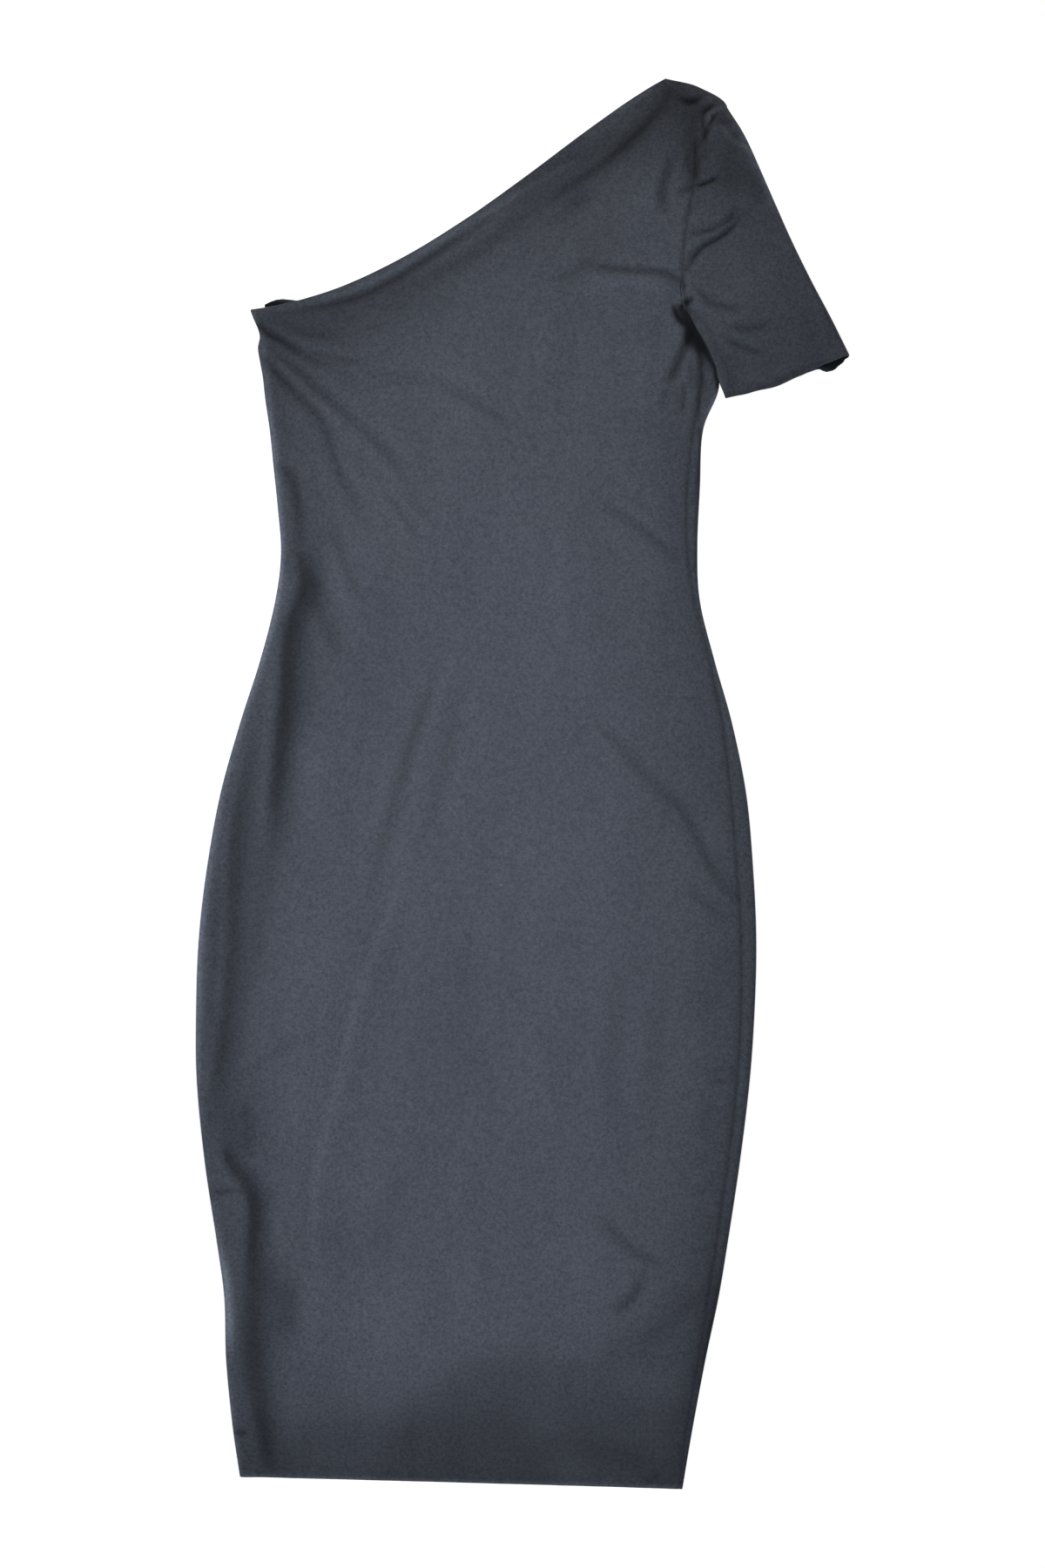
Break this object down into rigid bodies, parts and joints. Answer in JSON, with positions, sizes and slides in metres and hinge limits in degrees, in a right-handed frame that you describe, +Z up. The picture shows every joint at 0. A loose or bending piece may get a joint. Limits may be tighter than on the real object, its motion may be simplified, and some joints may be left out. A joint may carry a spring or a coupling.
{
  "type": "one-shoulder bodycon dress",
  "caption": "One-shoulder fitted midi dress of soft double jersey with one short sleeve, laid flat front side up, with a rolled side seam and drag creases.",
  "frame": {"origin": "middle of the dress's plan on the surface that it lies on", "axes": "+X across the dress towards its sleeve, +Y from the hem to the shoulder, +Z up off the surface, out of the front"},
  "size_m": [0.5244, 1.1315, 0.0094],
  "materials": {
    "jersey": "matt dark slate grey double jersey with a fine knit grain and a soft brushed bloom"
  },
  "bodies": {
    "root": {"front_panel": "jersey", "back_panel": "jersey", "sleeve": "jersey"}
  },
  "joints": []
}
